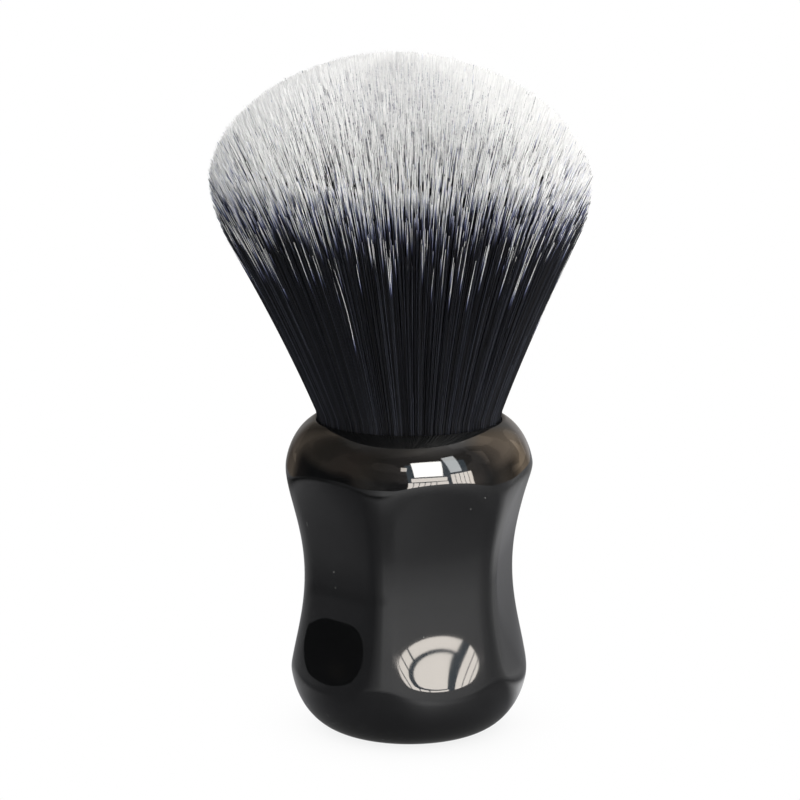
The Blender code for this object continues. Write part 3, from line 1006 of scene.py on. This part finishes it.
def floor_material():
    """White with a faint contact shadow to the camera, and a table in a dim room to the handle."""
    made, tree, shader = new_material("pale_floor")
    shader.inputs["Base Color"].default_value = (0.80, 0.80, 0.80, 1.0)
    shader.inputs["Roughness"].default_value = 0.9
    shader.inputs["Specular IOR Level"].default_value = 0.0
    path = tree.nodes.new("ShaderNodeLightPath")
    place = tree.nodes.new("ShaderNodeTexCoord").outputs["Object"]

    contact = node(tree, "ShaderNodeAmbientOcclusion", Distance=16.0 * MM, samples=8)
    shown = node(tree, "ShaderNodeEmission")
    shade = ramp(tree, contact.outputs["AO"], (0.0, 0.84), (0.45, 0.965), (0.8, 1.0))
    tree.links.new(shade, shown.inputs["Color"])

    reach = reach_of(tree, place)
    room = room_low(tree, azimuth_share(tree, place))
    beyond = math_node(tree, "GREATER_THAN", reach, TABLE_REACH)
    mirrored = glow_only(tree, mix_colour(tree, beyond, table_glow(tree, place, reach), room))
    glossy = mix_shader(tree, path.outputs["Is Glossy Ray"], shader.outputs["BSDF"], mirrored)
    camera = mix_shader(tree, path.outputs["Is Camera Ray"], glossy, shown.outputs["Emission"])
    tree.links.new(camera, tree.nodes["Material Output"].inputs["Surface"])
    return made


def make_floor():
    """The floor, a hair below the foot so that the two faces don't coincide."""
    far = FLOOR_REACH
    corners = [(-far, -far, 0), (far, -far, 0), (far, far, 0), (-far, far, 0)]
    mesh = bpy.data.meshes.new("floor")
    mesh.from_pydata(corners, [], [(0, 1, 2, 3)])
    mesh.materials.append(floor_material())
    floor = bpy.data.objects.new("floor", mesh)
    floor.location.z = -FLOOR_GAP
    bpy.context.scene.collection.objects.link(floor)


def make_table_edge():
    """The raised edge of the table round the object, seen only in the handle's reflections."""
    made, tree, _ = new_material("table_edge")
    place = tree.nodes.new("ShaderNodeTexCoord").outputs["Object"]
    glow = glow_only(tree, table_glow(tree, place, reach_of(tree, place)))
    tree.links.new(glow, tree.nodes["Material Output"].inputs["Surface"])
    points = []
    for azimuth in range(-180, 181, 3):
        foot = around(azimuth, 0, TABLE_REACH, Vector((0.0, 0.0, 0.0)))
        height = float(np.interp(azimuth, EDGE_AZIMUTHS, EDGE_HEIGHTS)) * MM
        points.append(tuple(foot))
        points.append((foot.x, foot.y, height))
    faces = [(i, i + 2, i + 3, i + 1) for i in range(0, len(points) - 2, 2)]
    mesh = bpy.data.meshes.new("table_edge")
    mesh.from_pydata(points, [], faces)
    mesh.materials.append(made)
    edge = bpy.data.objects.new("table_edge", mesh)
    bpy.context.scene.collection.objects.link(edge)
    for ray in ("camera", "diffuse", "shadow", "transmission"):
        setattr(edge, f"visible_{ray}", False)


def make_world():
    """White to the camera, soft fill for the shading, and a dim warm room to reflections."""
    world = bpy.data.worlds.new("studio")
    bpy.context.scene.world = world
    world.use_nodes = True
    tree = world.node_tree
    path = tree.nodes.new("ShaderNodeLightPath")
    place = tree.nodes.new("ShaderNodeTexCoord").outputs["Generated"]
    split = tree.nodes.new("ShaderNodeSeparateXYZ")
    tree.links.new(place, split.inputs["Vector"])
    plain = room_glow(tree, azimuth_share(tree, place), split.outputs["Z"])
    room = multiply(tree, plain, furniture(tree, place))
    doubled = multiply(tree, room, white_of(tree, GLOW))
    seen = mix_colour(tree, path.outputs["Is Glossy Ray"], (1.0, 1.0, 1.0), doubled)
    fill = mix_colour(tree, path.outputs["Is Diffuse Ray"], seen, (0.60, 0.61, 0.63))
    tree.links.new(fill, tree.nodes["Background"].inputs["Color"])


def window_pane(name, azimuths, elevations, brightness, colour=(1.0, 0.92, 0.83)):
    """A bright pane, seen only in reflections; azimuths and elevations are (from, to) in degrees."""
    middle = Vector((0.0, 0.0, WINDOW_LEVEL))
    elevation = sum(elevations) / 2
    place = around(sum(azimuths) / 2, elevation, WINDOW_DISTANCE, middle)
    turn = math.radians(azimuths[1] - azimuths[0])
    width = WINDOW_DISTANCE * turn * math.cos(math.radians(elevation))
    height = WINDOW_DISTANCE * math.radians(elevations[1] - elevations[0])
    power = brightness * math.pi * width * height
    pane = area_light(name, place, middle, width, height, power, colour)
    pane.visible_diffuse = False


def make_window():
    """Panes over a rail and its balusters, either side of a mullion, in a dim frame."""
    rail = (-12.0, 10.6)
    sill = (11.9, 17.4)
    window_pane("frame", (-4.0, 60.0), (-12.0, 44.0), 0.75, (0.6, 0.9, 1.15))
    window_pane("pane_left", (3.0, 34.0), (19.0, 43.0), 24.0, (1.0, 0.97, 0.93))
    window_pane("pane_right", (39.3, 53.0), (21.8, 47.0), 9.0, (0.97, 1.0, 1.0))
    window_pane("pane_far", (-8.5, -2.5), (28.0, 34.0), 11.0)
    window_pane("sill_left", (1.5, 36.2), sill, DAYLIGHT)
    for index in range(5):
        left = -0.9 + 5.3 * index
        window_pane(f"gap_left_{index}", (left, left + 4.6), rail, DAYLIGHT)
    window_pane("gap_wide", (25.7, 36.2), rail, DAYLIGHT)
    for index in range(5):
        left = 39.8 + 4.4 * index
        window_pane(f"gap_right_{index}", (left, left + 3.8), (rail[0], 19.8), DAYLIGHT)


def make_lights():
    """The key light, which the handle doesn't mirror."""
    centre = Vector((0.0, 0.0, KEY_TARGET))
    place = around(KEY_AZIMUTH, KEY_ELEVATION, KEY_DISTANCE, centre)
    key = area_light("key", place, centre, KEY_WIDTH, KEY_WIDTH, KEY_POWER, (1.0, 0.985, 0.96))
    key.visible_glossy = False


def make_camera():
    """A long lens from a little above the brush, aimed a hair to its left."""
    data = bpy.data.cameras.new("camera")
    data.lens = CAMERA_LENS
    data.sensor_width = SENSOR_WIDTH
    camera = bpy.data.objects.new("camera", data)
    bpy.context.scene.collection.objects.link(camera)
    azimuth = math.radians(CAMERA_AZIMUTH)
    camera.location = (
        math.sin(azimuth) * CAMERA_DISTANCE,
        -math.cos(azimuth) * CAMERA_DISTANCE,
        CAMERA_HEIGHT,
    )
    target = Vector((-math.cos(azimuth) * AIM_LEFT, -math.sin(azimuth) * AIM_LEFT, AIM_LEVEL))
    aim(camera, target)
    bpy.context.scene.camera = camera


make_handle()
make_knot()
finish_hidden_pieces()
make_floor()
make_table_edge()
make_world()
make_window()
make_lights()
make_camera()
bpy.context.scene.view_settings.view_transform = "Standard"
